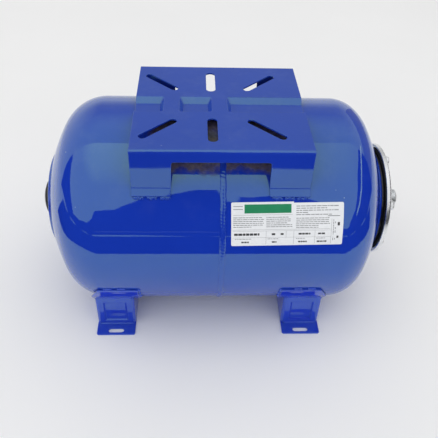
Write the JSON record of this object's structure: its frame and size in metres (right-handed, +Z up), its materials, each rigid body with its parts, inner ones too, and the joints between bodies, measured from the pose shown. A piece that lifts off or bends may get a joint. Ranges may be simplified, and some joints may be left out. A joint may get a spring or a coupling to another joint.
{
  "type": "well pressure tank",
  "caption": "Blue horizontal steel bladder tank for a well pump, with pressed feet and a slotted pump platform on top.",
  "frame": {"origin": "middle of the rectangle of the four foot slots, on the underside of the feet", "axes": "+Z up; +X along the tank's axis towards the water connection; +Y towards the back as seen with the printed sticker in front"},
  "size_m": [0.5045, 0.2876, 0.3035],
  "materials": {
    "blue_paint": "gloss",
    "zinc_plate": "satin",
    "rubber": "matte",
    "cap_plastic": "satin",
    "brass": "satin",
    "sticker": "satin",
    "black_paint": "gloss"
  },
  "bodies": {
    "root": {"shell_left": "blue_paint", "shell_right": "blue_paint", "seam_weld": "blue_paint", "flange_ring": "black_paint", "flange_weld": "blue_paint", "bladder": "rubber", "counter_flange": "zinc_plate", "flange_bolts": "zinc_plate", "water_connection": "zinc_plate", "connection_weld": "zinc_plate", "pump_platform": "blue_paint", "platform_welds": "blue_paint", "foot_front_left": "blue_paint", "foot_front_right": "blue_paint", "foot_rear_left": "blue_paint", "foot_rear_right": "blue_paint", "foot_welds": "blue_paint", "valve_stem": "brass", "valve_seal": "rubber", "valve_nut": "brass", "valve_core": "brass", "dust_cap": "cap_plastic", "valve_cover": "cap_plastic", "rating_label": "sticker"}
  },
  "joints": []
}
